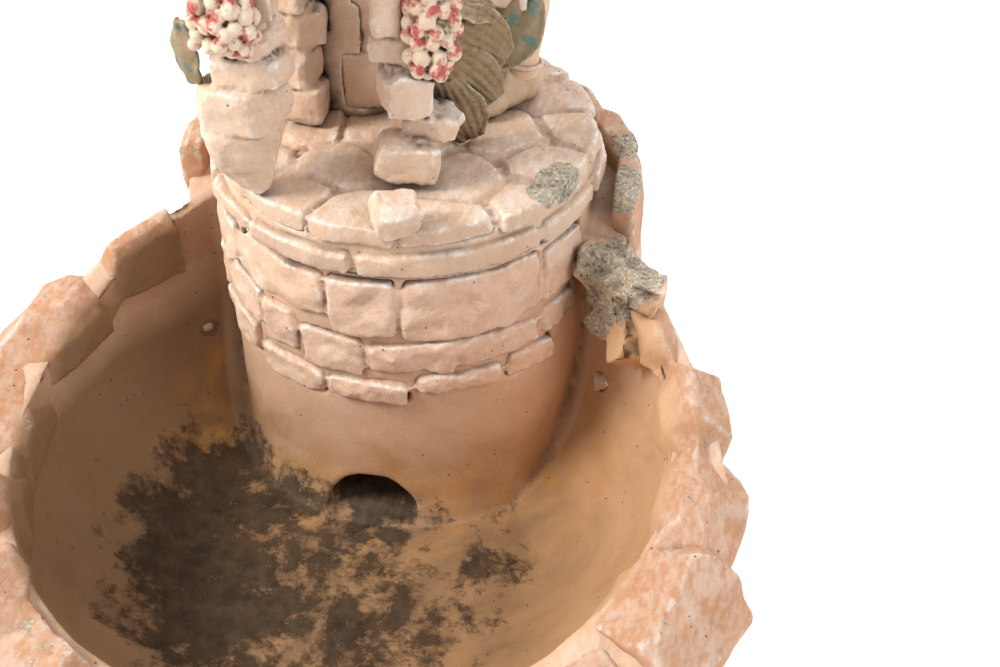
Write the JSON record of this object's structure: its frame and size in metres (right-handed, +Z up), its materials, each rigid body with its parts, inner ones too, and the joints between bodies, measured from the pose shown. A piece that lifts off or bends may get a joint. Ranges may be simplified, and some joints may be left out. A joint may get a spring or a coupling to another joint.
{
  "type": "rockwork fountain font",
  "caption": "Cast-stone rockwork font: a keyhole basin with a chiselled rim around a round stone drum whose lift-off top carries paving, a small grotto and a figure with a jug",
  "frame": {"origin": "on the ground, below the centre of the circle that the inside of the basin rim follows", "axes": "+Z up, -Y towards the front of the basin, +X to the right seen from the front"},
  "size_m": [0.8897, 1.0871, 1.179],
  "materials": {
    "clip_steel": "stainless hose clip",
    "dial_plastic": "moulded grey ABS",
    "figure_cast_stone": "fine cast concrete with a worn stain",
    "flower_paint": "cast concrete with worn red paint",
    "foot_rubber": "suction feet",
    "hose_rubber": "black EPDM hose",
    "leaf_paint": "cast concrete with worn green paint",
    "paving_cast_stone": "acid-stained cast concrete, limewashed, worn",
    "pipe_brass": "dull brass tube",
    "pump_plastic": "moulded black ABS",
    "rim_cast_stone": "acid-stained cast concrete, limewashed on its ridges, with bare grey patches",
    "rod_steel": "reinforcing rod",
    "rotor_magnet": "moulded ferrite rotor",
    "shaft_steel": "ground stainless steel",
    "strainer_plastic": "moulded dark grey ABS",
    "tinted_cast_stone": "acid-stained cast concrete, peach terracotta with a limewash rubbed over the high spots"
  },
  "bodies": {
    "lower_casting": {"basin_bowl": "tinted_cast_stone", "drum_shell": "tinted_cast_stone", "left_rim_stones": "rim_cast_stone", "front_rim_stones": "rim_cast_stone", "right_rim_stones": "rim_cast_stone", "wing_stones": "rim_cast_stone", "lower_facing_stones": "tinted_cast_stone", "upper_facing_stones": "tinted_cast_stone", "rear_facing_stones": "tinted_cast_stone", "upper_drum_course": "tinted_cast_stone", "middle_drum_course": "tinted_cast_stone", "lower_drum_course": "tinted_cast_stone", "pump_body": "pump_plastic", "pump_cover": "pump_plastic", "outlet_barb": "pump_plastic", "rotor_bearing": "pump_plastic", "pump_feet": "foot_rubber", "cable_gland": "pump_plastic", "riser_hose": "hose_rubber", "hose_clips": "clip_steel"},
    "top_casting": {"arms": "figure_cast_stone", "bodice": "figure_cast_stone", "cap_stones": "paving_cast_stone", "centre_flowers": "flower_paint", "centre_stack_stones": "paving_cast_stone", "dress": "figure_cast_stone", "figure_rods": "rod_steel", "flagstones": "paving_cast_stone", "grotto_core": "paving_cast_stone", "hair": "figure_cast_stone", "head": "figure_cast_stone", "jug": "figure_cast_stone", "left_flowers": "flower_paint", "left_leaf": "leaf_paint", "left_stack_stones": "paving_cast_stone", "legs": "figure_cast_stone", "rear_rock_stones": "paving_cast_stone", "recess_side_stones": "paving_cast_stone", "recess_wall_stones": "paving_cast_stone", "ribbed_leaf": "leaf_paint", "ruffled_leaves": "leaf_paint", "shoes": "figure_cast_stone", "slab_disc": "paving_cast_stone", "slab_edge_stones": "paving_cast_stone", "splash_stone": "paving_cast_stone", "spout_pipe": "pipe_brass"},
    "rotor": {"impeller": "rotor_magnet", "rotor_shaft": "shaft_steel"},
    "strainer": {"pump_strainer": "strainer_plastic"},
    "dial": {"flow_dial": "dial_plastic"}
  },
  "joints": [
    {"name": "top_lift", "type": "slide", "parent": "lower_casting", "child": "top_casting", "axis": [0, 0, 1], "range_m": [0, 0.15]},
    {"name": "rotor_spin", "type": "hinge", "parent": "lower_casting", "child": "rotor", "pos_m": [-0.034, 0.311, 0.112], "axis": [0, 1, 0], "continuous": true},
    {"name": "strainer_pull", "type": "slide", "parent": "lower_casting", "child": "strainer", "axis": [0, -1, 0], "range_m": [0, 0.025]},
    {"name": "flow_dial_turn", "type": "hinge", "parent": "strainer", "child": "dial", "pos_m": [-0.034, 0.275, 0.112], "axis": [0, -1, 0], "range_deg": [0, 100]}
  ]
}
